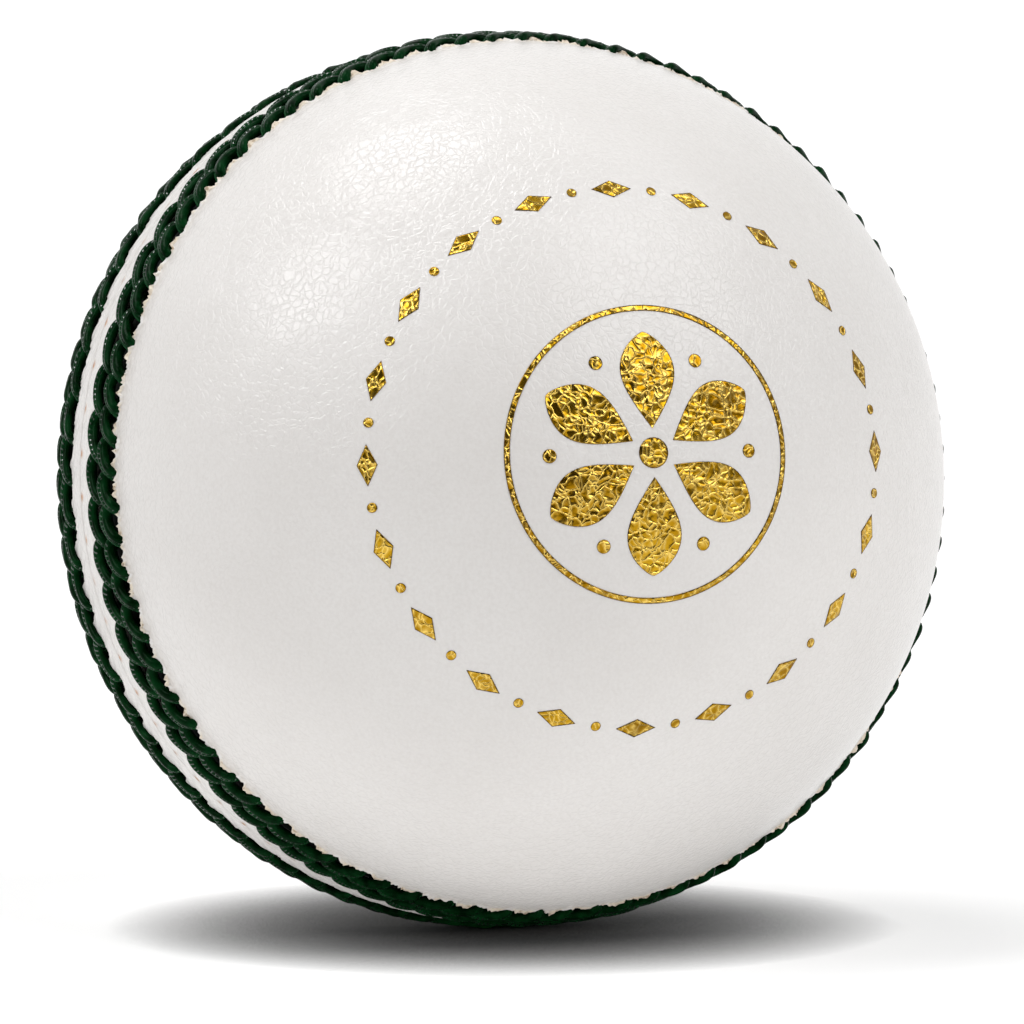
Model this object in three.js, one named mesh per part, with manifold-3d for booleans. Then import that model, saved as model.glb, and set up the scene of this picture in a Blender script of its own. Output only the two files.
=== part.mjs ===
// A cricket ball with a two-piece leather cover, in millimetres and +Z up.
// The origin is the middle of the ball. It lies on the two seam rows of its back half, so its
// front pole points along -Y and leans up. Every piece is first built about the pole axis, as Y.
import * as THREE from "three";
import { mergeVertices } from "three/addons/utils/BufferGeometryUtils.js";
import Module from "manifold-3d";

// The cover, and the gap that is left between pieces that touch on the real ball
const COVER_RADIUS = 35.7;
const COVER_THICKNESS = 3.2;
const CLEARANCE = 0.3;

// The layers under the cover, from the outside in. What they leave in the middle is the nut.
const OUTER_WINDING_THICKNESS = 3.2;
const OUTER_CORK_THICKNESS = 2.6;
const MIDDLE_WINDING_THICKNESS = 3.6;
const INNER_CORK_THICKNESS = 2.6;
const INNER_WINDING_THICKNESS = 4.2;
const TWINE_END_HOLE_RADIUS = 1.2;

// The seam: a bare strip on the two lips, and two rows of thread beside it on each cup
const STRIP_WIDTH = 5.0;
const THREAD_WIDTH = 1.9;
const THREAD_HEIGHT = 1.5;
const THREAD_PROUD = 0.7;
const INNER_ROW_STITCHES = 74;
const OUTER_ROW_STITCHES = 86;
const STITCH_END_SHARE = 0.78;

// The closing stitch, which runs between the lips under the strip
const CLOSING_THREAD_DIAMETER = 1.0;
const CLOSING_THREAD_DEPTH = 1.6;

// How finely round shapes are divided
const COVER_SEGMENTS = 60;
const COVER_ARC_STEPS = 10;
const LAYER_SEGMENTS = 20;
const LAYER_ARC_STEPS = LAYER_SEGMENTS / 4;
const THREAD_SIDES = 6;
const CLOSING_THREAD_RINGS = 60;
const GROOVE_STEPS = 4;
const HOLE_SIDES = 8;

const QUARTER_TURN = Math.PI / 2;
const HALF_TURN = Math.PI;
const FULL_TURN = 2 * Math.PI;

const leather = new THREE.MeshStandardMaterial({ color: 0xece9e6, roughness: 0.35, metalness: 0 });
const greenThread = new THREE.MeshStandardMaterial({ color: 0x0e3a1a, roughness: 0.4, metalness: 0 });
const plainThread = new THREE.MeshStandardMaterial({ color: 0xd8cdb4, roughness: 0.7, metalness: 0 });
const twine = new THREE.MeshStandardMaterial({ color: 0xcbb891, roughness: 0.95, metalness: 0 });
const cork = new THREE.MeshStandardMaterial({ color: 0xb98a57, roughness: 0.9, metalness: 0 });
const corkRubber = new THREE.MeshStandardMaterial({ color: 0x6e4a30, roughness: 0.8, metalness: 0 });

const wasm = await Module();
wasm.setup();

function solidOf(geometry) {
  geometry.deleteAttribute("normal");
  geometry.deleteAttribute("uv");
  const merged = mergeVertices(geometry);
  return new wasm.Manifold(
    new wasm.Mesh({
      numProp: 3,
      vertProperties: merged.attributes.position.array,
      triVerts: new Uint32Array(merged.index.array),
    }),
  );
}

function geometryOf(solid) {
  const { vertProperties, triVerts } = solid.getMesh();
  const geometry = new THREE.BufferGeometry();
  geometry.setAttribute("position", new THREE.BufferAttribute(vertProperties, 3));
  geometry.setIndex(new THREE.BufferAttribute(triVerts, 1));
  return geometry;
}

function piece(name, geometry, material) {
  const mesh = new THREE.Mesh(geometry, material.clone());
  mesh.name = name;
  return mesh;
}

// A point of a half profile, at a radius from the ball's middle and a latitude over the seam
const onArc = (radius, latitude) =>
  new THREE.Vector2(radius * Math.cos(latitude), radius * Math.sin(latitude));

// An arc about the ball's middle from one latitude to another, both ends included
function arcPoints(radius, from, to, steps) {
  const latitudes = Array.from({ length: steps + 1 }, (_, i) => from + ((to - from) * i) / steps);
  return latitudes.map((latitude) => onArc(radius, latitude));
}

// A point at a radius from the ball's middle and a height over the plane of the seam
const atHeight = (radius, height) => new THREE.Vector2(Math.sqrt(radius ** 2 - height ** 2), height);

// Where the rows lie, as distances along the cover from the middle of the seam
const innerRowMiddle = STRIP_WIDTH / 2 + CLEARANCE + THREAD_WIDTH / 2;
const outerRowMiddle = innerRowMiddle + THREAD_WIDTH + CLEARANCE;
const troughEdge = outerRowMiddle + THREAD_WIDTH / 2 + CLEARANCE;
const threadRadius = COVER_RADIUS + THREAD_PROUD - THREAD_HEIGHT / 2;
const troughFloorRadius = threadRadius - THREAD_HEIGHT / 2 - CLEARANCE;
const closingThreadRadius = COVER_RADIUS - CLOSING_THREAD_DEPTH;
const coverInnerRadius = COVER_RADIUS - COVER_THICKNESS;
const halfClearance = CLEARANCE / 2;
const latitudeOf = (distance) => distance / COVER_RADIUS;

// Half of the round groove that holds the closing stitch, cut into the face of one lip
function grooveProfile() {
  const grooveRadius = CLOSING_THREAD_DIAMETER / 2 + CLEARANCE;
  const start = Math.asin(halfClearance / grooveRadius);
  return Array.from({ length: GROOVE_STEPS + 1 }, (_, i) => {
    const angle = start + ((HALF_TURN - 2 * start) * i) / GROOVE_STEPS;
    const x = closingThreadRadius + grooveRadius * Math.cos(angle);
    return new THREE.Vector2(x, grooveRadius * Math.sin(angle));
  });
}

// One leather cup: smooth leather, the trough for two rows, the strip, the lip face, the inside
function coverCup() {
  const profile = [
    ...arcPoints(COVER_RADIUS, QUARTER_TURN, latitudeOf(troughEdge), COVER_ARC_STEPS),
    onArc(troughFloorRadius, latitudeOf(troughEdge)),
    onArc(troughFloorRadius, latitudeOf(STRIP_WIDTH / 2)),
    onArc(COVER_RADIUS, latitudeOf(STRIP_WIDTH / 2)),
    atHeight(COVER_RADIUS, halfClearance),
    ...grooveProfile(),
    atHeight(coverInnerRadius, halfClearance),
    ...arcPoints(coverInnerRadius, 0, QUARTER_TURN, LAYER_ARC_STEPS).slice(1),
  ];
  return new THREE.LatheGeometry(profile.reverse(), COVER_SEGMENTS);
}

// A closed ring of thread about the pole axis. Its section swells and narrows from ring to ring.
function threadRing(middleDistance, ringCount, radius, width, height, shareAt) {
  const latitude = latitudeOf(middleDistance);
  const positions = [];
  const indices = [];
  for (let ring = 0; ring < ringCount; ring++) {
    const longitude = (FULL_TURN * ring) / ringCount;
    for (let side = 0; side < THREAD_SIDES; side++) {
      const angle = (FULL_TURN * side) / THREAD_SIDES;
      const out = radius + (height / 2) * shareAt(ring) * Math.sin(angle);
      const across = (width / 2) * shareAt(ring) * Math.cos(angle);
      const fromAxis = out * Math.cos(latitude) - across * Math.sin(latitude);
      const up = out * Math.sin(latitude) + across * Math.cos(latitude);
      positions.push(fromAxis * Math.cos(longitude), up, fromAxis * Math.sin(longitude));
      const next = ((ring + 1) % ringCount) * THREAD_SIDES;
      const here = ring * THREAD_SIDES;
      const other = (side + 1) % THREAD_SIDES;
      indices.push(here + side, next + side, here + other);
      indices.push(here + other, next + side, next + other);
    }
  }
  const geometry = new THREE.BufferGeometry();
  geometry.setAttribute("position", new THREE.Float32BufferAttribute(positions, 3));
  geometry.setIndex(indices);
  return geometry;
}

// A row has one ring in the middle of each stitch and a narrower one between two stitches
function stitchRow(middleDistance, stitches) {
  const shareAt = (ring) => (ring % 2 ? STITCH_END_SHARE : 1);
  return threadRing(
    middleDistance, 2 * stitches, threadRadius, THREAD_WIDTH, THREAD_HEIGHT, shareAt,
  );
}

function closingStitch() {
  const diameter = CLOSING_THREAD_DIAMETER;
  return threadRing(0, CLOSING_THREAD_RINGS, closingThreadRadius, diameter, diameter, () => 1);
}

const ball = (radius) => new THREE.SphereGeometry(radius, LAYER_SEGMENTS, 2 * LAYER_ARC_STEPS);

const shell = (radius, thickness) => solidOf(ball(radius)).subtract(solidOf(ball(radius - thickness)));

// A layer of twine, with the hole at its front pole where the end of the layer below comes out
function winding(radius, thickness) {
  const holeRadius = TWINE_END_HOLE_RADIUS;
  const hole = new THREE.CylinderGeometry(holeRadius, holeRadius, radius, HOLE_SIDES);
  hole.translate(0, radius, 0);
  return geometryOf(shell(radius, thickness).subtract(solidOf(hole)));
}

// Half a layer of cork, on the side of the ball that the direction points to
function corkHalf(radius, thickness, direction) {
  const size = 2 * radius;
  const cut = new THREE.BoxGeometry(size, size, size);
  const shift = direction.clone().multiplyScalar(halfClearance - radius);
  cut.translate(shift.x, shift.y, shift.z);
  return geometryOf(shell(radius, thickness).subtract(solidOf(cut)));
}

// One cup with its two rows. The back half is the same, turned over.
function half(side) {
  const group = new THREE.Group();
  group.add(
    piece(`cover_${side}`, coverCup(), leather),
    piece(`seam_row_${side}_outer`, stitchRow(outerRowMiddle, OUTER_ROW_STITCHES), greenThread),
    piece(`seam_row_${side}_inner`, stitchRow(innerRowMiddle, INNER_ROW_STITCHES), greenThread),
  );
  return group;
}

// Each layer ends one clearance under the one outside it
function core() {
  const group = new THREE.Group();
  const outerWinding = coverInnerRadius - CLEARANCE;
  const outerCork = outerWinding - OUTER_WINDING_THICKNESS - CLEARANCE;
  const middleWinding = outerCork - OUTER_CORK_THICKNESS - CLEARANCE;
  const innerCork = middleWinding - MIDDLE_WINDING_THICKNESS - CLEARANCE;
  const innerWinding = innerCork - INNER_CORK_THICKNESS - CLEARANCE;
  const nut = innerWinding - INNER_WINDING_THICKNESS - CLEARANCE;
  const x = new THREE.Vector3(1, 0, 0);
  const z = new THREE.Vector3(0, 0, 1);
  const outerHalf = (direction) => corkHalf(outerCork, OUTER_CORK_THICKNESS, direction);
  const innerHalf = (direction) => corkHalf(innerCork, INNER_CORK_THICKNESS, direction);
  group.add(
    piece("winding_outer", winding(outerWinding, OUTER_WINDING_THICKNESS), twine),
    piece("cork_outer_right", outerHalf(x), cork),
    piece("cork_outer_left", outerHalf(x.clone().negate()), cork),
    piece("winding_middle", winding(middleWinding, MIDDLE_WINDING_THICKNESS), twine),
    piece("cork_inner_top", innerHalf(z), cork),
    piece("cork_inner_bottom", innerHalf(z.clone().negate()), cork),
    piece("winding_inner", winding(innerWinding, INNER_WINDING_THICKNESS), twine),
    piece("core_nut", ball(nut), corkRubber),
  );
  return group;
}

// The ball lies where both rows of its back half touch the floor
const lean = latitudeOf((innerRowMiddle + outerRowMiddle) / 2);

const back = half("back");
back.rotation.x = HALF_TURN;

const cricketBall = new THREE.Group();
cricketBall.add(half("front"), back, piece("closing_stitch", closingStitch(), plainThread), core());
cricketBall.rotation.x = HALF_TURN - lean;

export default cricketBall;
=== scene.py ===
import math

import bpy
import numpy as np
from mathutils import Matrix, Vector


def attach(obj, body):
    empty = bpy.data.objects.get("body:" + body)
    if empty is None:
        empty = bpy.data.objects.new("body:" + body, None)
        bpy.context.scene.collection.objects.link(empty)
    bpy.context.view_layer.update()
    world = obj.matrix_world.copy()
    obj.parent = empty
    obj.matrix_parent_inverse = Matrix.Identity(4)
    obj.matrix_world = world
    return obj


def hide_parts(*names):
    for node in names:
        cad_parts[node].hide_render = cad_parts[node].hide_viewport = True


# A white leather cricket ball with green seam stitches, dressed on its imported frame.
# Lengths are metres. Ball space has its Z along the front pole, its X level in the plane of the
# seam and its origin at the middle of the ball. A longitude turns about the pole, from X.
# An arc is a distance along the leather from the middle of the seam, positive on the front cup.

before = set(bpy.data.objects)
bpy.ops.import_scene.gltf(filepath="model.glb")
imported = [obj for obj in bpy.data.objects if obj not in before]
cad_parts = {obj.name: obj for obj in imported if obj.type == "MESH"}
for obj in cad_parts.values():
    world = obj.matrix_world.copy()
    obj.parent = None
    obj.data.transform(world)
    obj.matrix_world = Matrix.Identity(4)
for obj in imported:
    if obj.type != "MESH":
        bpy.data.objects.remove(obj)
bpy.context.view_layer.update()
MM = 0.001
TURN = 2 * math.pi


def node_points(name):
    """The vertices of a CAD node, as rows of x, y, z in the row frame."""
    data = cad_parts[name].data
    points = np.zeros(len(data.vertices) * 3)
    data.vertices.foreach_get("co", points)
    return points.reshape(-1, 3)


# What the frame says: the front pole, the leather's radii, and where the rows lie
front_points = node_points("cover_front")
pole = Vector(front_points.mean(0) - node_points("cover_back").mean(0)).normalized()
side = Vector((1.0, 0.0, 0.0))
AXES = np.array((side, pole.cross(side), pole))
front_radii = np.linalg.norm(front_points, axis=1)
LEATHER = float(front_radii.max())
COVER_INSIDE = float(front_radii.min())


def row_place(name):
    """A row's arc from the middle of the seam, and the radius of its crest."""
    points = node_points(name)
    radii = np.linalg.norm(points, axis=1)
    latitudes = np.arcsin(points @ AXES[2] / radii)
    return float(latitudes.mean()) * LEATHER, float(radii.max())


ROWS = {name: row_place(name)[0]
        for name in sorted(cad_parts) if name.startswith("seam_row")}
INNER_ROW = ROWS["seam_row_front_inner"]
OUTER_ROW = ROWS["seam_row_front_outer"]
CREST = row_place("seam_row_front_outer")[1] - LEATHER

# The stitches: how many each kind of row has. Their spacing drifts round the seam so many times a
# turn, by up to so many radians, from the longitude where they lie widest apart.
STITCHES = {"inner": 74, "outer": 86}
SPACING_WAVES = {"inner": 2, "outer": 1}
SPACING_DRIFT = {"inner": 0.10, "outer": 0.03}
WIDEST = {"inner": math.radians(155), "outer": math.radians(180)}
SPACING_STEPS = 6000
# Where each row's first stitch lies along the seam, in pitches
PHASES = {
    "seam_row_front_outer": 0.03,
    "seam_row_front_inner": 0.87,
    "seam_row_back_inner": 0.27,
    "seam_row_back_outer": 0.6,
}
# The middle ply of a stitch, point by point: along the row, in pitches; across it, in
# millimetres; its height, in rises; and how far apart the plies lie there, along in pitches and
# across in millimetres
STITCH_PATH = np.array((
    (-0.66, 0.35, -2.60, -0.02, 0.08),
    (-0.55, -0.02, -0.50, -0.04, 0.16),
    (-0.36, -0.38, 0.70, -0.06, 0.26),
    (-0.08, -0.50, 1.00, -0.08, 0.32),
    (0.20, -0.22, 1.04, -0.11, 0.32),
    (0.44, 0.30, 1.00, -0.13, 0.26),
    (0.60, 0.84, 0.70, -0.14, 0.16),
    (0.70, 1.24, 0.00, -0.14, 0.10),
    (0.74, 1.52, -2.20, -0.14, 0.06),
))
# How far the middle ply's axis lies under the row's crest, where its rise is 1
PLY_SINK = 0.28 * MM
# How much of what STITCH_PATH says the plies lie apart
PLY_SPREAD = {"inner": 0.7, "outer": 0.85}
# A stitch's plies, from the one nearest the seam's back side: the radius, how far ridged it is
# by its twist, and how much a painted sheen makes it paler
PLIES = {
    "outer": ((0.19 * MM, 0.3, 1.0), (0.31 * MM, 1.0, 0.2), (0.42 * MM, 0.25, 0.0)),
    "inner": ((0.20 * MM, 0.3, 0.8), (0.30 * MM, 1.0, 0.2), (0.32 * MM, 0.25, 0.0)),
}
# The share of its radius that a ply keeps at its ends
PLY_END = 0.62
# How far the side plies rise and sink as they turn about the middle one, and through what angle
# to either side
PLY_SWAY = 0.24 * MM
PLY_TURN = 1.5
# The length in which the two yarns of a ply turn once round each other
TWIST_LENGTH = 0.86 * MM
# How much the stitches vary in width, in height and in place (in pitches), as deviations
WIDTH_VARIES, HEIGHT_VARIES, PLACE_VARIES = 0.06, 0.05, 0.03
# Between what limits a ply's distance from the middle one, its radius and how far it lies lower
# (in millimetres) vary
PLY_OFFSETS, PLY_SIZES, PLY_DIPS = (0.85, 1.15), (0.93, 1.07), (0.05, 0.14)
TUBE_RINGS = 28
TUBE_SIDES = 12

# The leather beside the stitches
COLUMNS = 18 * STITCHES["inner"]
# How much the gaps between stitches vary in size
GAP_VARIES = 0.25
# On a row's side towards the front pole the leather reaches in between the stitches' ends, in
# blunt ragged teeth. On its other side it reaches in between their round lobes, in cusps.
END_REACH = 1.45 * MM
END_TOOTH = 0.4 * MM
END_GAP = 0.22
END_TOOTH_SHARE = 0.2
END_RAGGED = 0.105 * MM
LOBE_REACH = 0.75 * MM
LOBE_CUSP = 0.85 * MM
LOBE_GAP = 0.47
LOBE_RAGGED = 0.02 * MM
# The back inner row's teeth are longer, and between two longitudes the strip reaches in further
BACK_INNER_TEETH = 1.6
TONGUE_SPAN = (math.radians(184), math.radians(228))
TONGUE_FADE = 0.1
TONGUE = 1.1 * MM

# The outside of a cup, from the joint to the dome
JOINT_GAP = 0.01 * MM
TROUGH_DEPTH = 0.95 * MM
# The ridge between two rows: how far its cusps lean, how deep its feet and its top lie, how far
# the cusps rise from there, and how far the feet are from its middle
RIDGE_CUSP = 0.3 * MM
RIDGE_FEET = 0.6 * MM
RIDGE_DEPTH = 0.5 * MM
RIDGE_RISE = 0.55 * MM
RIDGE_HALF = 0.2 * MM
LIP_RISE = 0.1 * MM
BELT_END = 9.5 * MM
DOME_RINGS = 36
# The awl holes beside the joint: their arc and width, and their length as a share of a pitch
AWL_ARC = 0.35 * MM
AWL_WIDTH = 0.3 * MM
AWL_LENGTH = 0.09
# Wrinkles across the strip: their height, and how their lean grows with the arc
WRINKLE = 0.03 * MM
WRINKLE_LEAN = 0.2 * MM

rng = np.random.default_rng(7)


def add_mesh(name, points, faces, material):
    """A new object from points in ball space, placed in the row frame, riding on the ball."""
    mesh = bpy.data.meshes.new(name)
    mesh.from_pydata((points @ AXES).tolist(), [], faces)
    mesh.polygons.foreach_set("use_smooth", [True] * len(mesh.polygons))
    mesh.materials.append(material)
    mesh.update()
    obj = bpy.data.objects.new(name, mesh)
    bpy.context.scene.collection.objects.link(obj)
    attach(obj, "root")
    return obj


def add_attribute(obj, name, values):
    layer = obj.data.attributes.new(name, "FLOAT", "POINT")
    layer.data.foreach_set("value", np.asarray(values, dtype=np.float32).ravel())


def on_ball(longitude, arc, height):
    """Points at a longitude, an arc from the seam and a height over the leather."""
    latitude = arc / LEATHER
    radius = LEATHER + height
    return np.stack(
        (radius * np.cos(latitude) * np.cos(longitude),
         radius * np.cos(latitude) * np.sin(longitude),
         radius * np.sin(latitude)), axis=-1)


def smooth_step(low, high, value):
    t = np.clip((value - low) / (high - low), 0, 1)
    return t * t * (3 - 2 * t)


# Materials

TWINE_PITCH = 1.1 * MM


def new_material(name):
    material = bpy.data.materials.new(name)
    material.use_nodes = True
    tree = material.node_tree
    return material, tree, tree.nodes["Principled BSDF"]


def set_input(tree, socket, value):
    """Joins a socket to another node's output, or sets it to a value."""
    if isinstance(value, bpy.types.NodeSocket):
        tree.links.new(value, socket)
    else:
        socket.default_value = value


def set_inputs(tree, node, **inputs):
    """Sets or joins inputs by name. An underscore stands for a space in the name."""
    for key, value in inputs.items():
        set_input(tree, node.inputs[key.replace("_", " ")], value)


def add_node(tree, kind, **inputs):
    node = tree.nodes.new("ShaderNode" + kind)
    set_inputs(tree, node, **inputs)
    return node


def math_node(tree, operation, *values):
    node = add_node(tree, "Math")
    node.operation = operation
    for socket, value in zip(node.inputs, values):
        set_input(tree, socket, value)
    return node.outputs["Value"]


def vector_math(tree, operation, *values):
    node = add_node(tree, "VectorMath")
    node.operation = operation
    for socket, value in zip(node.inputs, values):
        set_input(tree, socket, value)
    return node.outputs["Value" if operation in ("DOT_PRODUCT", "LENGTH") else "Vector"]


def fading(tree, value, start, end, strength):
    """A strength that holds up to one level of a value and fades to 0 at another."""
    return add_node(tree, "MapRange", Value=value, From_Min=start, From_Max=end,
                    To_Min=strength, To_Max=0.0).outputs["Result"]


def ramp(tree, value, stops):
    """A colour ramp. Each stop is a place and a grey level or a colour."""
    node = add_node(tree, "ValToRGB", Fac=value)
    while len(node.color_ramp.elements) < len(stops):
        node.color_ramp.elements.new(0.5)
    for element, (place, colour) in zip(node.color_ramp.elements, stops):
        element.position = place
        element.color = (*((colour,) * 3 if isinstance(colour, float) else colour), 1)
    return node.outputs["Color"]


def mixed(tree, share, first, second):
    node = add_node(tree, "Mix")
    node.data_type = "RGBA"
    for index, value in ((0, share), (6, first), (7, second)):
        value = (*value, 1) if isinstance(value, tuple) else value
        set_input(tree, node.inputs[index], value)
    return node.outputs[2]


def layered(tree, base, *layers):
    """A colour with others laid over it. Each layer is how much it covers, and its colour."""
    for share, colour in layers:
        base = mixed(tree, share, base, colour)
    return base


def bumped(tree, shader, layers):
    """Chained bumps. Each layer is a height socket, a strength and a distance."""
    normal = None
    for height, strength, distance in layers:
        node = add_node(tree, "Bump", Height=height, Strength=strength, Distance=distance)
        if normal is not None:
            tree.links.new(normal, node.inputs["Normal"])
        normal = node.outputs["Normal"]
    tree.links.new(normal, shader.inputs["Normal"])
    return normal


def object_space(tree):
    return add_node(tree, "TexCoord").outputs["Object"]


def attribute(tree, name):
    node = add_node(tree, "Attribute")
    node.attribute_name = name
    return node.outputs["Fac"]


def noise(tree, space, scale, detail=3.0):
    return add_node(tree, "TexNoise", Vector=space, Scale=scale, Detail=detail).outputs["Fac"]


def warped(tree, space, scale, amount):
    """The space shifted here and there by noise of a scale, by up to about an amount."""
    shift = add_node(tree, "TexNoise", Vector=space, Scale=scale, Detail=2.0).outputs["Color"]
    return vector_math(tree, "MULTIPLY_ADD", shift, (amount,) * 3, space)


def voronoi(tree, feature, scale, space):
    node = add_node(tree, "TexVoronoi", Vector=space, Scale=scale)
    node.feature = feature
    return node.outputs["Distance"]


def patches(tree, space, scale):
    """A random colour for each cell of a pattern."""
    return add_node(tree, "TexVoronoi", Vector=space, Scale=scale).outputs["Color"]


def leather_material():
    """White lacquered leather: raw and brown where it is cut, stained green-black and painted with
    shade under the thread, grimy and painted with shade beside it, with creases in the lacquer."""
    material, tree, shader = new_material("white_leather")
    space = object_space(tree)
    fibre = ramp(tree, noise(tree, space, 2600.0, 4.0), ((0.35, 0.3), (0.62, 1.0)))
    raw, stain_and_shade = attribute(tree, "raw_edge"), attribute(tree, "stain_and_shade")
    rim = ramp(tree, raw, ((0.65, 0.0), (1.0, 1.0)))
    loose = ramp(tree, noise(tree, space, 2100.0), ((0.56, 0.0), (0.64, 1.0)))
    near_edge = ramp(tree, raw, ((0.25, 0.0), (0.5, 0.75)))
    white = ramp(tree, noise(tree, space, 60.0, 4.0),
                 ((0.3, (0.690, 0.668, 0.648)), (0.7, (0.735, 0.715, 0.697))))
    base = layered(
        tree, white,
        (ramp(tree, noise(tree, space, 3600.0, 2.0), ((0.35, 0.0), (0.7, 0.3))),
         (0.60, 0.57, 0.545)),
        # Grime beside the thread, brown-grey: partly dirt, partly painted shade along the rows and
        # the joint
        (math_node(tree, "MULTIPLY", attribute(tree, "grime_and_shade"), fibre), (0.30, 0.25, 0.20)),
        (ramp(tree, raw, ((0.0, 0.0), (0.5, 0.9))), (0.74, 0.65, 0.52)),
        (math_node(tree, "MULTIPLY", rim, fibre), (0.30, 0.18, 0.09)),
        (math_node(tree, "MULTIPLY", loose, near_edge), (0.34, 0.24, 0.15)),
        # Near black in the troughs under the thread: partly the thread's dye staining the leather,
        # partly painted shade
        (stain_and_shade, (0.001, 0.003, 0.0015)),
        (attribute(tree, "awl"), (0.42, 0.17, 0.04)))
    cells = voronoi(tree, "DISTANCE_TO_EDGE", 1500.0, warped(tree, space, 700.0, 0.0016))
    creases = ramp(tree, cells, ((0.0, 0.0), (0.16, 1.0)))
    normal = bumped(tree, shader, (
        (noise(tree, space, 300.0), 0.25, 0.0003),
        (creases, 0.08, 0.00008),
        (noise(tree, space, 3200.0), 0.06, 0.00006)))
    gloss = add_node(tree, "Bump", Height=creases, Strength=0.35, Distance=0.00008, Normal=normal)
    # The coat fades out where the troughs are painted dark, so that the painted shade stays dark
    set_inputs(tree, shader, Base_Color=base, Roughness=0.6, Specular_IOR_Level=0.12,
               Coat_Weight=ramp(tree, stain_and_shade, ((0.0, 0.7), (0.5, 0.0))), Coat_Roughness=0.2,
               Coat_Normal=gloss.outputs["Normal"])
    return material


def thread_material(name, deep, bright, painted_sheen, tint, roughness):
    """Waxed, twisted thread. The wax beads on the ridges of the twist, along a stitch's crest."""
    material, tree, shader = new_material(name)
    fuzz = noise(tree, object_space(tree), 900.0)
    # The painted sheen lays a paler green on plies along a stitch's edge, where light would catch
    # it
    base = layered(tree, ramp(tree, fuzz, ((0.35, deep), (0.7, bright))),
                   (attribute(tree, "painted_sheen"), painted_sheen))
    place = add_node(tree, "SeparateXYZ", Vector=add_node(tree, "UVMap").outputs["UV"])
    along = math_node(tree, "MULTIPLY", place.outputs["X"], 2 * TURN)
    around = math_node(tree, "MULTIPLY", place.outputs["Y"], TURN)
    ridges = math_node(tree, "SINE", math_node(tree, "MULTIPLY_ADD", around, 2.0, along))
    over = math_node(tree, "SINE", math_node(tree, "ADD", around, TURN / 6))
    crest = math_node(tree, "MULTIPLY", over, attribute(tree, "ridged"))
    beads = ramp(tree, math_node(tree, "MULTIPLY", ridges, crest), ((0.35, 0.0), (0.75, 1.0)))
    bumped(tree, shader, ((beads, 0.6, 0.00003), (fuzz, 0.2, 0.00006)))
    set_inputs(tree, shader, Base_Color=base, Roughness=roughness, Specular_IOR_Level=0.03,
               Specular_Tint=(*tint, 1), Coat_Weight=beads, Coat_Roughness=0.12, Coat_IOR=1.8)
    return material


def twine_material():
    """Worsted twine wound in crossing bands: each patch has its own direction."""
    material, tree, shader = new_material("worsted_twine")
    space = object_space(tree)
    bands = patches(tree, warped(tree, space, 60.0, 0.006), 75.0)
    centred = vector_math(tree, "SUBTRACT", bands, (0.5, 0.5, 0.5))
    across = vector_math(tree, "DOT_PRODUCT", vector_math(tree, "NORMALIZE", centred), space)
    strands = math_node(tree, "SINE", math_node(tree, "MULTIPLY", across, TURN / TWINE_PITCH))
    shade = ramp(tree, math_node(tree, "MULTIPLY_ADD", strands, 0.5, 0.5),
                 ((0.1, (0.24, 0.16, 0.08)), (0.7, (0.66, 0.54, 0.35))))
    fuzz = noise(tree, space, 3800.0, 4.0)
    base = layered(tree, shade,
                   (ramp(tree, fuzz, ((0.5, 0.0), (0.75, 0.5))), (0.74, 0.65, 0.47)))
    bumped(tree, shader, ((strands, 1.0, 0.0002), (fuzz, 0.5, 0.0001)))
    set_inputs(tree, shader, Base_Color=base, Roughness=0.92, Sheen_Weight=0.3)
    return material


def granular_material(name, scale, tones, binder, binder_width, roughness):
    """Pressed granules of cork in a binder."""
    material, tree, shader = new_material(name)
    space = warped(tree, object_space(tree), scale, 0.5 / scale)
    granule = add_node(tree, "SeparateXYZ", Vector=patches(tree, space, scale)).outputs["X"]
    specks = noise(tree, space, 6 * scale, 4.0)
    joints = voronoi(tree, "DISTANCE_TO_EDGE", scale, space)
    base = layered(
        tree, ramp(tree, granule, tones),
        (ramp(tree, specks, ((0.58, 0.0), (0.7, 0.7))), (0.10, 0.05, 0.025)),
        (ramp(tree, joints, ((0.0, 1.0), (binder_width, 0.0))), binder))
    raised = ramp(tree, joints, ((0.0, 0.0), (2 * binder_width, 1.0)))
    bumped(tree, shader, ((raised, 0.7, 0.0002), (specks, 0.4, 0.0001)))
    set_inputs(tree, shader, Base_Color=base, Roughness=roughness)
    return material


def foil_material():
    """Gold leaf crumpled over the leather, with a painted highlight on its folds, painted shade in
    its hollows and a dark edge.
    """
    material, tree, shader = new_material("gold_foil")
    space = object_space(tree)
    bent = warped(tree, space, 520.0, 0.0022)
    cells = voronoi(tree, "SMOOTH_F1", 1250.0, bent)
    ridges = voronoi(tree, "DISTANCE_TO_EDGE", 1500.0, bent)
    folds_and_highlight = ramp(tree, ridges, ((0.0, 1.0), (0.08, 0.35), (0.25, 0.0)))
    gold = ramp(tree, noise(tree, space, 130.0, 5.0),
                ((0.38, (0.30, 0.145, 0.002)), (0.62, (0.55, 0.31, 0.012))))
    base = layered(
        tree, gold,
        # Painted highlight: the folds are coloured a bright gold
        (folds_and_highlight, (0.88, 0.62, 0.15)),
        # Painted shade: the hollows between the folds are coloured dark
        (ramp(tree, cells, ((0.5, 0.0), (0.85, 0.6))), (0.15, 0.065, 0.001)),
        (attribute(tree, "foil_edge"), (0.08, 0.04, 0.01)))
    bumped(tree, shader, ((cells, 0.7, 0.0003), (folds_and_highlight, 0.7, 0.00006)))
    set_inputs(tree, shader, Base_Color=base, Metallic=1.0, Roughness=0.26)
    return material


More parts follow.
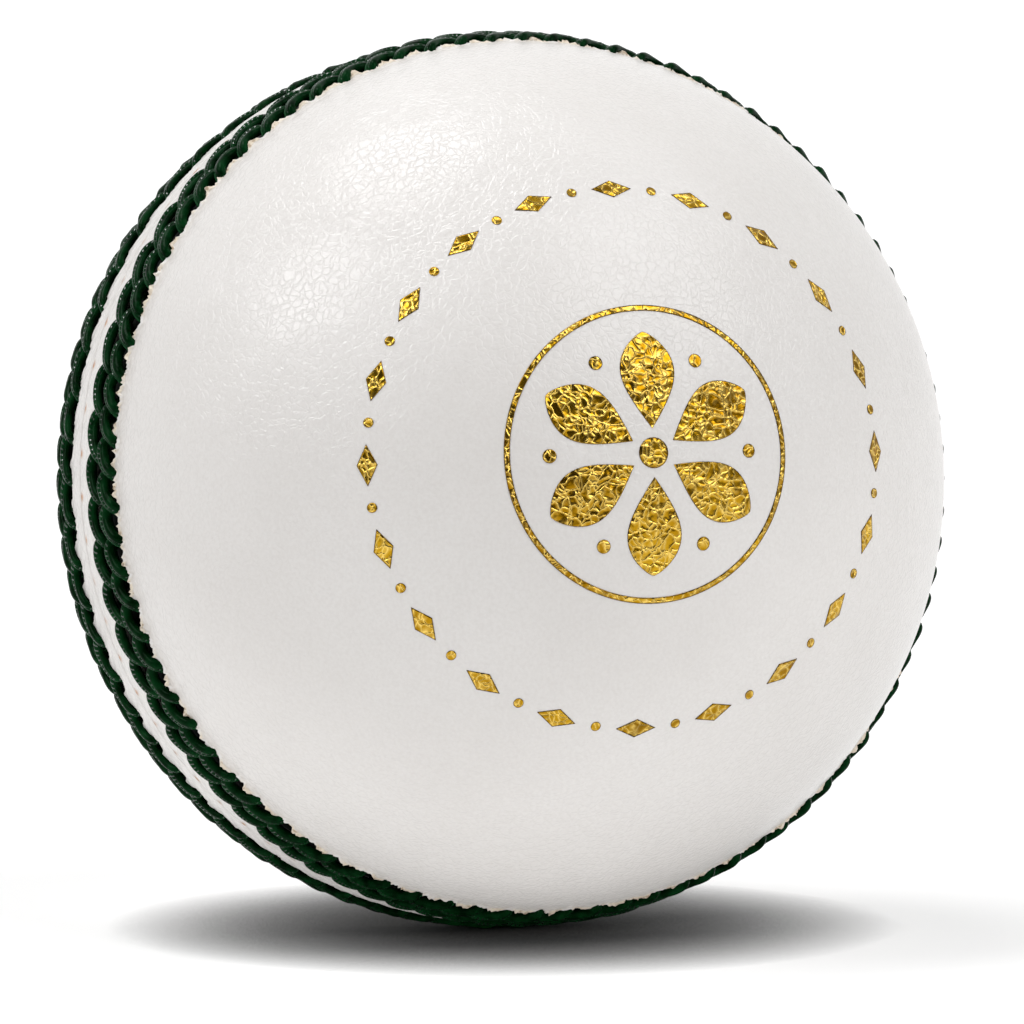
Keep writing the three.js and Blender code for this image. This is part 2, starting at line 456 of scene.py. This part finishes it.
LEATHER_MATERIAL = leather_material()
GREEN_THREAD = thread_material(
    "green_thread", deep=(0.0004, 0.0075, 0.0014), bright=(0.0025, 0.031, 0.0075),
    painted_sheen=(0.012, 0.060, 0.022), tint=(0.5, 1.0, 0.6), roughness=0.2)
PLAIN_THREAD = thread_material(
    "plain_thread", deep=(0.55, 0.46, 0.33), bright=(0.74, 0.66, 0.50),
    painted_sheen=(0.8, 0.74, 0.6), tint=(1.0, 0.95, 0.9), roughness=0.5)
FOIL = foil_material()
TWINE = twine_material()
CORK = granular_material(
    "cork", 420.0,
    ((0.1, (0.33, 0.18, 0.08)), (0.6, (0.52, 0.33, 0.17)), (0.9, (0.68, 0.48, 0.27))),
    binder=(0.20, 0.11, 0.05), binder_width=0.06, roughness=0.9)
CORK_RUBBER = granular_material(
    "cork_rubber", 700.0,
    ((0.1, (0.22, 0.11, 0.05)), (0.5, (0.36, 0.21, 0.11)), (0.9, (0.50, 0.33, 0.18))),
    binder=(0.035, 0.022, 0.016), binder_width=0.16, roughness=0.75)


# Leather cups

def kind_of(row):
    return row.rsplit("_", 1)[1]


def spaced(kind, even):
    """The longitude of a place that is so far round a row, once its spacing has drifted."""
    return even + SPACING_DRIFT[kind] * np.sin(SPACING_WAVES[kind] * (even - WIDEST[kind]))


def in_pitches(row, longitude):
    """Which stitch of a row lies at a longitude, counted on in shares of a pitch."""
    kind = kind_of(row)
    even = np.linspace(-TURN, 2 * TURN, SPACING_STEPS)
    return np.interp(longitude, spaced(kind, even), even) / TURN * STITCHES[kind] - PHASES[row]


def gaps(row, longitude, gap):
    """How far a longitude is from the nearest gap between stitches, and a random size for it."""
    count = STITCHES[kind_of(row)]
    phase = in_pitches(row, longitude) - gap
    nearest = np.round(phase)
    sizes = 1 + GAP_VARIES * rng.standard_normal(count)
    return phase - nearest, sizes[nearest.astype(int) % count]


def ragged(spread):
    """Wiggles round the seam, smoothed over so many columns to either side."""
    values = rng.standard_normal(COLUMNS)
    values = sum(np.roll(values, shift) for shift in range(-spread, spread + 1))
    return values / values.std()


def cusps(row, longitude):
    """Pointed places between a row's round lobes: 1 at each point and 0 half a pitch away."""
    offset, size = gaps(row, longitude, LOBE_GAP)
    return size * (1 - np.sqrt(1 - (1 - 2 * np.abs(offset)) ** 2))


def reach(row, towards, longitude):
    """How far from a row's middle the leather starts, towards the front pole or away from it."""
    if towards < 0:
        return LOBE_REACH - LOBE_CUSP * cusps(row, longitude) + LOBE_RAGGED * ragged(1)
    offset, size = gaps(row, longitude, END_GAP)
    tooth = size * np.exp(-((offset / END_TOOTH_SHARE) ** 2))
    length = END_TOOTH
    if row == "seam_row_back_inner":
        start, end = TONGUE_SPAN
        tongue = (smooth_step(0, TONGUE_FADE, longitude - start)
                  * smooth_step(0, TONGUE_FADE, end - longitude))
        length = BACK_INNER_TEETH * END_TOOTH + TONGUE * tongue
    return END_REACH - length * tooth + END_RAGGED * (ragged(0) + ragged(2))


def seam_lines(edge, strip_edge, ridge, ridge_cusp):
    """The surface of a cup from the joint outwards, as lines along the seam.

    Each line is an arc, a height, how raw the leather is there, how far stained and painted with
    shade, how far grimy and painted with shade, and the number of steps to the next line."""
    trough = np.maximum(INNER_ROW, strip_edge + 0.2 * MM)
    ridge_top = RIDGE_RISE * np.clip(ridge_cusp, 0, 1) - RIDGE_DEPTH
    # Between its cusps the ridge is painted dark, as stain and as painted shade
    ridge_stain_and_shade = np.clip(1 - 1.4 * ridge_cusp, 0, 1)
    lip = LIP_RISE * (1 + 0.45 * ragged(1))
    chips = np.clip(0.5 + 0.5 * ragged(2) + 1.2 * (edge.mean() - edge) / END_TOOTH, 0, 1.3)
    return (
        # The bare strip, which swells a little, and its edge
        (JOINT_GAP, -0.05 * MM, 0.0, 0.0, 0.2, 3),
        (0.3 * MM, 0.0, 0.0, 0.0, 0.05, 5),
        (0.5 * strip_edge, 0.06 * MM, 0.0, 0.0, 0.0, 5),
        (strip_edge - 0.3 * MM, 0.05 * MM, 0.05, 0.0, 0.03, 4),
        (strip_edge, -0.1 * MM, 0.35, 0.0, 0.1, 2),
        (strip_edge + 0.12 * MM, -0.55 * MM, 0.1, 0.95, 0.0, 4),
        # The trough under the inner row, the ridge, and the trough under the outer row
        (trough, -TROUGH_DEPTH, 0.0, 1.0, 0.0, 4),
        (ridge - RIDGE_HALF, -RIDGE_FEET, 0.0, 1.0, 0.0, 3),
        (ridge, ridge_top, 0.3 * ridge_cusp, ridge_stain_and_shade, 0.0, 3),
        (ridge + RIDGE_HALF, -RIDGE_FEET, 0.0, 1.0, 0.0, 4),
        (OUTER_ROW, -TROUGH_DEPTH, 0.0, 1.0, 0.0, 5),
        # The smooth leather: its cut edge, its lip, chipped in places, and the way to the dome
        # Past the cut edge the leather is grimy and painted with shade, fading out before the dome
        (edge - 0.1 * MM, -0.5 * MM, 0.1, 0.95, 0.0, 2),
        (edge, -0.03 * MM, 1.0, 0.0, 0.2, 3),
        (edge + 0.1 * MM, lip * (1 + chips), 0.6 * chips, 0.0, 0.1, 3),
        (edge + 0.35 * MM, 0.5 * lip * (1 + chips), 0.55 * chips, 0.0, 0.7 * chips, 3),
        (edge + 0.47 * MM, 0.2 * lip, 0.05, 0.0, 0.3, 4),
        (OUTER_ROW + 2.4 * MM, -0.03 * MM, 0.0, 0.0, 0.14, 4),
        (OUTER_ROW + 3.1 * MM, 0.0, 0.0, 0.0, 0.0, 2),
        (BELT_END, 0.0, 0.0, 0.0, 0.0, 1),
    )


def ring_of(value):
    return np.broadcast_to(np.asarray(value, dtype=float), (COLUMNS,))


def seam_rings(lines):
    """Rings between the lines, from the dome inwards: for each its arcs, heights and the three
    looks."""
    rings = []
    for line, after in zip(lines, lines[1:]):
        for step in range(line[5]):
            share = step / line[5]
            blend = (share, float(smooth_step(0, 1, share)), share, share, share)
            rings.append([ring_of(a) + (ring_of(b) - ring_of(a)) * s
                          for a, b, s in zip(line, after, blend)])
    rings.append([ring_of(v) for v in lines[-1][:5]])
    return rings[::-1]


def closed_rings(rings, sign):
    """Faces of stacked rings, with a fan to a point at each end. The points follow the rings."""
    start, end = rings * COLUMNS, rings * COLUMNS + 1
    last = (rings - 1) * COLUMNS
    faces = []
    for ring in range(rings - 1):
        for column in range(COLUMNS):
            a, b = ring * COLUMNS + column, ring * COLUMNS + (column + 1) % COLUMNS
            faces.append((a, a + COLUMNS, b + COLUMNS, b))
    for column in range(COLUMNS):
        after = (column + 1) % COLUMNS
        faces.append((start, column, after))
        faces.append((end, last + after, last + column))
    return faces if sign > 0 else [face[::-1] for face in faces]


# The middle of the closing stitch, and the groove with a clearance round it
closing_points = node_points("closing_stitch") @ AXES.T
closing_reach = np.hypot(closing_points[:, 0], closing_points[:, 1])
CLOSING_MIDDLE = float(closing_reach.min() + closing_reach.max()) / 2
CLOSING_GROOVE = float(closing_reach.max() - closing_reach.min()) / 2 + 0.1 * MM
GROOVE_RINGS = 7
INSIDE_RINGS = 13


def inner_profile():
    """Distances from the pole's axis and above the seam's plane, down the joint and inside."""
    groove = [(CLOSING_MIDDLE + CLOSING_GROOVE * math.cos(a), CLOSING_GROOVE * math.sin(a))
              for a in np.linspace(0.08, math.pi - 0.08, GROOVE_RINGS)]
    inside = [(COVER_INSIDE * math.cos(a), COVER_INSIDE * math.sin(a))
              for a in np.linspace(0.001, math.pi / 2, INSIDE_RINGS, endpoint=False)]
    return groove + inside


def cup(name, sign):
    """One leather cup as a closed mesh: outside, joint face with its groove, inside."""
    facing = "front" if sign > 0 else "back"
    inner, outer = f"seam_row_{facing}_inner", f"seam_row_{facing}_outer"
    longitude = TURN * np.arange(COLUMNS) / COLUMNS
    edge = OUTER_ROW + reach(outer, sign, longitude)
    strip_edge = INNER_ROW - reach(inner, -sign, longitude)
    ridge_cusp = cusps(outer if sign > 0 else inner, longitude)
    ridge = (INNER_ROW + OUTER_ROW) / 2 + sign * RIDGE_CUSP * ridge_cusp
    quarter = LEATHER * math.pi / 2
    dome = quarter - (quarter - BELT_END) * np.linspace(0.02, 1, DOME_RINGS, endpoint=False)
    belt = seam_rings(seam_lines(edge, strip_edge, ridge, ridge_cusp))
    # Only the front cup's lip shows awl holes, one at each gap of its inner row. They vary twice
    # as much as the gaps.
    offset, size = gaps(inner, longitude, LOBE_GAP)
    spot = np.clip(2 * size - 1, 0.2, 1.6) * np.exp(-((offset / AWL_LENGTH) ** 2)) * (sign > 0)
    rings = [on_ball(longitude, sign * ring_of(arc), 0) for arc in dome]
    looks = [np.zeros((4, COLUMNS)) for _ in dome]
    for arc, height, raw, stain_and_shade, grime_and_shade in belt:
        on_strip = smooth_step(0, 0.4 * MM, arc) * smooth_step(0, 0.5 * MM, strip_edge - arc)
        waves = np.sin(2 * STITCHES["inner"] * longitude + sign * arc / WRINKLE_LEAN)
        rings.append(on_ball(longitude, sign * arc, height + WRINKLE * waves * on_strip))
        awl = spot * np.exp(-(((arc - AWL_ARC) / AWL_WIDTH) ** 2))
        looks.append(np.array((raw, stain_and_shade, grime_and_shade, np.clip(awl, 0, 1))))
    for out, level in inner_profile():
        level = ring_of(sign * max(level, JOINT_GAP))
        rings.append(np.stack((out * np.cos(longitude), out * np.sin(longitude), level), axis=-1))
        looks.append(np.zeros((4, COLUMNS)))
    ends = np.array([[0, 0, sign * LEATHER], [0, 0, sign * COVER_INSIDE]])
    faces = closed_rings(len(rings), sign)
    obj = add_mesh(name, np.concatenate(rings + [ends]), faces, LEATHER_MATERIAL)
    for look, values in zip(("raw_edge", "stain_and_shade", "grime_and_shade", "awl"), np.stack(looks, axis=1)):
        add_attribute(obj, look, np.concatenate((values.ravel(), np.zeros(2))))
    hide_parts(name)


# Rows of stitches

def spline(points, count):
    """A Catmull-Rom curve through the points, at even steps of its own parameter."""
    ends = np.concatenate(([2 * points[0] - points[1]], points, [2 * points[-1] - points[-2]]))
    result = []
    for u in np.linspace(0, len(points) - 1, count):
        i = min(int(u), len(points) - 2)
        t = u - i
        a, b, c, d = ends[i: i + 4]
        result.append(0.5 * (2 * b + (c - a) * t + (2 * a - 5 * b + 4 * c - d) * t * t
                             + (3 * b - a - 3 * c + d) * t ** 3))
    return np.array(result)


def tube(path, radius):
    """Rings of points round a path."""
    tangent = np.gradient(path, axis=0)
    across = np.cross(np.array((0.0, 0.0, 1.0)), tangent)
    tangent /= np.linalg.norm(tangent, axis=1)[:, None]
    across /= np.linalg.norm(across, axis=1)[:, None]
    over = np.cross(tangent, across)
    angles = TURN * np.arange(TUBE_SIDES) / TUBE_SIDES
    spokes = (across[:, None, :] * np.cos(angles)[None, :, None]
              + over[:, None, :] * np.sin(angles)[None, :, None])
    return path[:, None, :] + radius[:, None, None] * spokes


def tube_faces(first):
    faces = []
    for ring in range(TUBE_RINGS - 1):
        for n in range(TUBE_SIDES):
            a = first + ring * TUBE_SIDES + n
            b = first + ring * TUBE_SIDES + (n + 1) % TUBE_SIDES
            faces.append((a, b, b + TUBE_SIDES, a + TUBE_SIDES))
    last = first + (TUBE_RINGS - 1) * TUBE_SIDES
    faces.append(tuple(range(first + TUBE_SIDES - 1, first - 1, -1)))
    faces.append(tuple(range(last, last + TUBE_SIDES)))
    return faces


def stitch_row(name, row_arc):
    """A row of slanting stitches, each of a few plies side by side, sunk at both ends."""
    kind = kind_of(name)
    count = STITCHES[kind]
    pitch = TURN / count * LEATHER * math.cos(row_arc / LEATHER)
    shape = spline(STITCH_PATH, TUBE_RINGS)
    middle, apart = shape[:, :3], PLY_SPREAD[kind] * shape[:, 3:]
    scale = np.array((pitch, MM, CREST - PLY_SINK))
    sway = PLY_SWAY * np.sin(np.linspace(-PLY_TURN, PLY_TURN, TUBE_RINGS))
    fullness = np.sin(math.pi * np.linspace(0, 1, TUBE_RINGS)) ** 0.5
    thickness = PLY_END + (1 - PLY_END) * fullness
    points, faces, maps, looks = [], [], [], []
    for stitch in range(count):
        wide = 1 + WIDTH_VARIES * rng.standard_normal()
        tall = 1 + HEIGHT_VARIES * rng.standard_normal()
        slip = PLACE_VARIES * rng.standard_normal()
        for ply, (radius, ridged, painted_sheen) in enumerate(PLIES[kind]):
            offset = (ply - 1) * rng.uniform(*PLY_OFFSETS)
            path = middle * scale
            path[:, :2] += offset * apart * scale[:2]
            path[:, 1] *= wide
            dip = abs(offset) * rng.uniform(*PLY_DIPS) * MM
            path[:, 2] = path[:, 2] * tall + offset * sway - dip
            flat = tube(path, radius * thickness * rng.uniform(*PLY_SIZES)).reshape(-1, 3)
            even = (stitch + PHASES[name] + slip + flat[:, 0] / pitch) / count * TURN
            faces += tube_faces(len(points) * TUBE_RINGS * TUBE_SIDES)
            points.append(on_ball(spaced(kind, even), row_arc + flat[:, 1], flat[:, 2]))
            steps = np.linalg.norm(np.diff(path, axis=0), axis=1)
            maps.append(np.concatenate(([0], np.cumsum(steps))))
            looks.append((ridged, painted_sheen))
    obj = add_mesh(name, np.concatenate(points), faces, GREEN_THREAD)
    map_tubes(obj, maps)
    for look, values in zip(("ridged", "painted_sheen"), np.transpose(looks)):
        add_attribute(obj, look, np.repeat(values, TUBE_RINGS * TUBE_SIDES))
    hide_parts(name)


def map_tubes(obj, lengths):
    """A map whose first axis counts twists along each tube, and whose second goes round it."""
    along = np.repeat(np.concatenate(lengths) / TWIST_LENGTH, TUBE_SIDES)
    around = np.tile(np.arange(TUBE_SIDES) / TUBE_SIDES, len(along) // TUBE_SIDES)
    mesh = obj.data
    corners = np.zeros(len(mesh.loops), dtype=np.int32)
    mesh.loops.foreach_get("vertex_index", corners)
    starts = np.zeros(len(mesh.polygons), dtype=np.int32)
    mesh.polygons.foreach_get("loop_start", starts)
    u, v = along[corners], around[corners]
    # The quads that close a ring reach from its last side to its first, one turn further on
    sizes = np.diff(np.append(starts, len(corners)))
    face = np.repeat(np.arange(len(starts)), sizes)
    lowest = np.minimum.reduceat(v, starts)[face]
    highest = np.maximum.reduceat(v, starts)[face]
    v = np.where((highest - lowest > 0.5) & (v < 0.5) & (sizes[face] == 4), v + 1, v)
    layer = mesh.uv_layers.new(name="twist")
    layer.data.foreach_set("uv", np.stack((u, v), axis=1).astype(np.float32).ravel())


# Foil print round the front pole: a rosette in a ring, with a wide ring of lozenges and dots

FOIL_TOP = 0.035 * MM
FOIL_BOTTOM = -0.03 * MM
PETALS = 6
PETAL_START, PETAL_END, PETAL_HALF = 1.9 * MM, 9.6 * MM, 2.25 * MM
PETAL_ROWS, PETAL_LINES, SQUARE_LINES = 30, 9, 7
# Powers that move a petal's widest place outwards, and that fill it out
PETAL_LEAN, PETAL_FULL = 1.35, 0.72
EYE_RADIUS = 1.2 * MM
SEED_REACH, SEED_RADIUS = 8.3 * MM, 0.55 * MM
RING_RADIUS, RING_HALF = 11.6 * MM, 0.24 * MM
RING_STEPS, RING_LINES = 180, 5
BORDER_RADIUS = 22.6 * MM
LOZENGES = 20
LOZENGE_HALF_LENGTH, LOZENGE_HALF_WIDTH = 1.75 * MM, 0.85 * MM
BORDER_DOT = 0.42 * MM
# How wide the dark edge of a petal is
OUTLINE = 0.1 * MM


def from_pole(x, y, height):
    """Points at distances along the leather from the front pole, to the right and up."""
    out = np.maximum(np.hypot(x, y), 1e-9)
    angle = out / LEATHER
    radius = LEATHER + height
    return np.stack((radius * np.sin(angle) * x / out, radius * np.sin(angle) * y / out,
                     radius * np.cos(angle)), axis=-1)


def petal_grid():
    """A leaf along X with rounded ends, as grids of x and y and whether a point is on its edge."""
    share = 0.5 - 0.5 * np.cos(np.linspace(0.06, math.pi - 0.06, PETAL_ROWS))
    half = PETAL_HALF * np.sin(math.pi * share ** PETAL_LEAN) ** PETAL_FULL
    x = PETAL_START + (PETAL_END - PETAL_START) * share
    inner = 1 - np.minimum(OUTLINE / half, 0.3)
    across = np.array([(-1, *np.linspace(-i, i, PETAL_LINES), 1) for i in inner])
    edge = np.zeros_like(across)
    edge[:, [0, -1]] = 1
    edge[[0, -1], :] = 1
    return x[:, None] + 0 * across, half[:, None] * across, edge


def square_grid(inner):
    """A square from -1 to 1, with lines up to its inner part and at its edge."""
    line = np.array((-1, *np.linspace(-inner, inner, SQUARE_LINES), 1))
    u, v = np.meshgrid(line, line, indexing="ij")
    return u, v, (np.maximum(np.abs(u), np.abs(v)) > 0.99).astype(float)


def disc_grid(radius):
    """A square grid bent into a disc."""
    u, v, edge = square_grid(0.8)
    return radius * u * np.sqrt(1 - v * v / 2), radius * v * np.sqrt(1 - u * u / 2), edge


def lozenge_grid():
    u, v, edge = square_grid(0.85)
    return LOZENGE_HALF_WIDTH * (u + v) / 2, LOZENGE_HALF_LENGTH * (u - v) / 2, edge


def plate(x, y, edge, wrapped=False):
    """A thin closed plate over a grid of places, lying in the leather's surface."""
    rows, columns = x.shape
    points = np.concatenate([from_pole(x, y, height).reshape(-1, 3)
                             for height in (FOIL_TOP, FOIL_BOTTOM)])
    below = rows * columns
    faces = []
    for i in range(rows if wrapped else rows - 1):
        for j in range(columns - 1):
            a, b = i * columns + j, (i + 1) % rows * columns + j
            faces.append((a, b, b + 1, a + 1))
            faces.append((below + a, below + a + 1, below + b + 1, below + b))
    first = [i * columns for i in range(rows)][::-1]
    last = [i * columns + columns - 1 for i in range(rows)]
    loops = [last, first]
    if not wrapped:
        far = [(rows - 1) * columns + j for j in range(columns - 1)][::-1]
        loops = [list(range(columns)) + last[1:] + far + first[1:-1]]
    for loop in loops:
        for a, b in zip(loop, loop[1:] + loop[:1]):
            faces.append((a, b, below + b, below + a))
    return points, faces, np.concatenate((edge.ravel(), np.ones(below)))


def motif(grid, angle, out):
    """A plate of a grid drawn along X, moved out along X and turned about the pole."""
    x, y, edge = grid
    x = x + out
    return plate(x * np.cos(angle) - y * np.sin(angle), x * np.sin(angle) + y * np.cos(angle),
                 edge)


def foil_ring():
    angles = TURN * np.arange(RING_STEPS) / RING_STEPS
    across = RING_RADIUS + RING_HALF * np.linspace(-1, 1, RING_LINES)
    edge = np.zeros((RING_STEPS, RING_LINES))
    edge[:, [0, -1]] = 1
    return plate(np.outer(np.cos(angles), across), np.outer(np.sin(angles), across), edge, True)


def foil_print():
    petal, seed = petal_grid(), disc_grid(SEED_RADIUS)
    lozenge, dot = lozenge_grid(), disc_grid(BORDER_DOT)
    plates = []
    for count, spoke, spoke_out, between, between_out in (
            (PETALS, petal, 0, seed, SEED_REACH),
            (LOZENGES, lozenge, BORDER_RADIUS, dot, BORDER_RADIUS)):
        for n in range(count):
            angle = TURN * n / count + TURN / 4
            plates.append(motif(spoke, angle, spoke_out))
            plates.append(motif(between, angle + TURN / count / 2, between_out))
    plates += [plate(*disc_grid(EYE_RADIUS)), foil_ring()]
    points, faces, edges = [], [], []
    for plate_points, plate_faces, plate_edges in plates:
        first = sum(len(p) for p in points)
        faces += [tuple(first + v for v in face) for face in plate_faces]
        points.append(plate_points)
        edges.append(plate_edges)
    obj = add_mesh("foil_print_front", np.concatenate(points), faces, FOIL)
    add_attribute(obj, "foil_edge", np.concatenate(edges))


# Under the cover

CLOSING_STITCHES = 60
CLOSING_SIDES = 10
CLOSING_STEPS = 8
CLOSING_THREAD_RADIUS = 0.42 * MM
CLOSING_SWAY = 0.14 * MM


def closing_stitch():
    """The thread in the groove between the two lips, which sways from lip to lip."""
    count = CLOSING_STITCHES * CLOSING_STEPS
    turns = (TURN * np.arange(count) / count)[:, None]
    around = TURN * np.arange(CLOSING_SIDES) / CLOSING_SIDES
    out = CLOSING_MIDDLE + CLOSING_THREAD_RADIUS * np.cos(around)
    level = CLOSING_THREAD_RADIUS * np.sin(around) + CLOSING_SWAY * np.sin(CLOSING_STITCHES * turns)
    points = np.stack((out * np.cos(turns), out * np.sin(turns), level), axis=-1).reshape(-1, 3)
    faces = []
    for ring in range(count):
        for n in range(CLOSING_SIDES):
            a, b = ring * CLOSING_SIDES, (ring + 1) % count * CLOSING_SIDES
            after = (n + 1) % CLOSING_SIDES
            faces.append((a + n, b + n, b + after, a + after))
    obj = add_mesh("closing_stitch", points, faces, PLAIN_THREAD)
    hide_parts("closing_stitch")


def dress(material, *names):
    """Gives CAD nodes a material."""
    for name in names:
        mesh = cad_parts[name].data
        mesh.materials.clear()
        mesh.materials.append(material)


for row_name, row_arc in ROWS.items():
    stitch_row(row_name, row_arc)
cup("cover_front", 1)
cup("cover_back", -1)
foil_print()
closing_stitch()
dress(TWINE, "winding_outer", "winding_middle", "winding_inner")
dress(CORK, "cork_outer_right", "cork_outer_left", "cork_inner_top", "cork_inner_bottom")
dress(CORK_RUBBER, "core_nut")


# Stage, light and camera

FLOOR_HALF = 30.0
# This share of what the camera sees of the floor is lit, and the rest is the floor's own white
TABLE_LIT = 0.6
# Both are darkened with a painted shadow where the ball hangs over the floor, within this reach,
# by this power of how open the floor is
SHADOW_REACH = 0.36 * LEATHER
SHADOW_DEPTH = 1.7
SHADOW_SAMPLES = 4
# For light that bounces onto the ball the floor is a light table. Under the ball its light is this
# share of white, and it fades away between these distances from where the ball lies.
TABLE_GLOW = 0.38
GLOW_FULL = 0.9 * LEATHER
GLOW_END = 2.2 * LEATHER
# The surround's light as a share of white. It fades away towards the camera's side, and so does
# the backdrop that metal and glass see: each between two cosines of the angle to the camera.
SURROUND = 0.42
SURROUND_FADE = (0.1, 0.95)
BACKDROP_FADE = (-0.7, 0.0)
# Soft far lamps: the direction in the camera's axes (right, up, back), the light, and the width in
# degrees. A light of 1 lights a surface that faces it as much as a whole white surround does.
LAMPS = {
    "overhead": ((-0.30, 0.95, -0.11), 0.35, 28),
    "upper_left": ((-0.69, 0.68, 0.27), 0.33, 26),
    "upper_right": ((0.55, 0.7, 0.45), 0.54, 46),
    "left": ((-0.88, 0.15, 0.35), 0.06, 40),
}
CAMERA_AZIMUTH = math.radians(19.3)
CAMERA_ELEVATION = math.radians(4.65)
CAMERA_DISTANCE = 22 * LEATHER
PIXELS = 1024
BALL_RADIUS_PIXELS = 441
BALL_CENTRE_PIXELS = (502.8, 480.0)


def ray_kinds(tree):
    """Sockets that are 1 for rays from the camera, for rays that metal or glass send on, and for
    rays that a dull surface sends on."""
    rays = add_node(tree, "LightPath").outputs
    mirrored = math_node(tree, "MAXIMUM", rays["Is Glossy Ray"], rays["Is Transmission Ray"])
    return rays["Is Camera Ray"], mirrored, rays["Is Diffuse Ray"]


def stage_floor():
    """A wide white table top, as high as the lowest point of the seam."""
    bottom = min(float(node_points(name)[:, 2].min()) for name in ROWS)
    corners = [(x * FLOOR_HALF, y * FLOOR_HALF, bottom)
               for x, y in ((-1, -1), (1, -1), (1, 1), (-1, 1))]
    mesh = bpy.data.meshes.new("floor")
    mesh.from_pydata(corners, [], [(0, 1, 2, 3)])
    material, tree, shader = new_material("floor")
    camera, mirrored, bounced = ray_kinds(tree)
    seen = math_node(tree, "MAXIMUM", camera, mirrored)
    covered = add_node(tree, "AmbientOcclusion", Distance=SHADOW_REACH)
    covered.samples = SHADOW_SAMPLES
    shade = math_node(tree, "POWER", covered.outputs["AO"], SHADOW_DEPTH)
    paper = mixed(tree, seen, (0.93, 0.93, 0.93), ramp(tree, shade, ((0.0, 0.0), (1.0, TABLE_LIT))))
    # The floor's own white for the camera carries the same painted shadow
    own_white = math_node(tree, "MULTIPLY", math_node(tree, "MULTIPLY", seen, shade), 1 - TABLE_LIT)
    spread = fading(tree, vector_math(tree, "LENGTH", object_space(tree)),
                    math.hypot(GLOW_FULL, bottom), math.hypot(GLOW_END, bottom), TABLE_GLOW)
    light = math_node(tree, "MULTIPLY_ADD", bounced, spread, own_white)
    set_inputs(tree, shader, Base_Color=paper, Roughness=0.9, Specular_IOR_Level=0.1,
               Emission_Color=(1, 1, 1, 1), Emission_Strength=light)
    mesh.materials.append(material)
    floor = bpy.data.objects.new("floor", mesh)
    bpy.context.scene.collection.objects.link(floor)


def camera_axes():
    """The camera's right, up and back directions in the row frame."""
    sin_a, cos_a = math.sin(CAMERA_AZIMUTH), math.cos(CAMERA_AZIMUTH)
    sin_e, cos_e = math.sin(CAMERA_ELEVATION), math.cos(CAMERA_ELEVATION)
    right = Vector((cos_a, -sin_a, 0))
    back = Vector((-sin_a * cos_e, -cos_a * cos_e, sin_e))
    return right, back.cross(right), back


def add_camera():
    right, over, back = camera_axes()
    data = bpy.data.cameras.new("camera")
    data.lens = data.sensor_width * BALL_RADIUS_PIXELS * CAMERA_DISTANCE / (LEATHER * PIXELS)
    data.shift_x = (PIXELS / 2 - BALL_CENTRE_PIXELS[0]) / PIXELS
    data.shift_y = (BALL_CENTRE_PIXELS[1] - PIXELS / 2) / PIXELS
    data.clip_end = 100
    obj = bpy.data.objects.new("camera", data)
    obj.matrix_world = Matrix((right, over, back)).transposed().to_4x4()
    obj.matrix_world.translation = back * CAMERA_DISTANCE
    bpy.context.scene.collection.objects.link(obj)
    bpy.context.scene.camera = obj


def world_light():
    """A pale surround that fades towards the camera's side. The camera sees it as plain white, and
    so do metal and glass in the half behind the ball, which is the backdrop."""
    world = bpy.data.worlds.new("studio")
    bpy.context.scene.world = world
    world.use_nodes = True
    tree = world.node_tree
    towards = add_node(tree, "TexCoord").outputs["Generated"]
    facing = vector_math(tree, "DOT_PRODUCT", towards, camera_axes()[2])
    camera, mirrored, _ = ray_kinds(tree)
    backdrop = math_node(tree, "MULTIPLY", mirrored, fading(tree, facing, *BACKDROP_FADE, 1.0))
    seen = math_node(tree, "MAXIMUM", camera, backdrop)
    light = fading(tree, facing, *SURROUND_FADE, SURROUND)
    set_inputs(tree, tree.nodes["Background"], Color=(1, 1, 1, 1),
               Strength=math_node(tree, "MAXIMUM", light, seen))


def add_lamp(name, direction, light, width):
    towards = sum((axis * share for axis, share in zip(camera_axes(), direction)), Vector())
    data = bpy.data.lights.new(name, "SUN")
    data.energy = light * math.pi
    data.angle = math.radians(width)
    obj = bpy.data.objects.new(name, data)
    obj.rotation_euler = towards.to_track_quat("Z", "Y").to_euler()
    bpy.context.scene.collection.objects.link(obj)


stage_floor()
world_light()
for lamp_name, lamp in LAMPS.items():
    add_lamp(lamp_name, *lamp)
add_camera()
bpy.context.scene.view_settings.view_transform = "Standard"
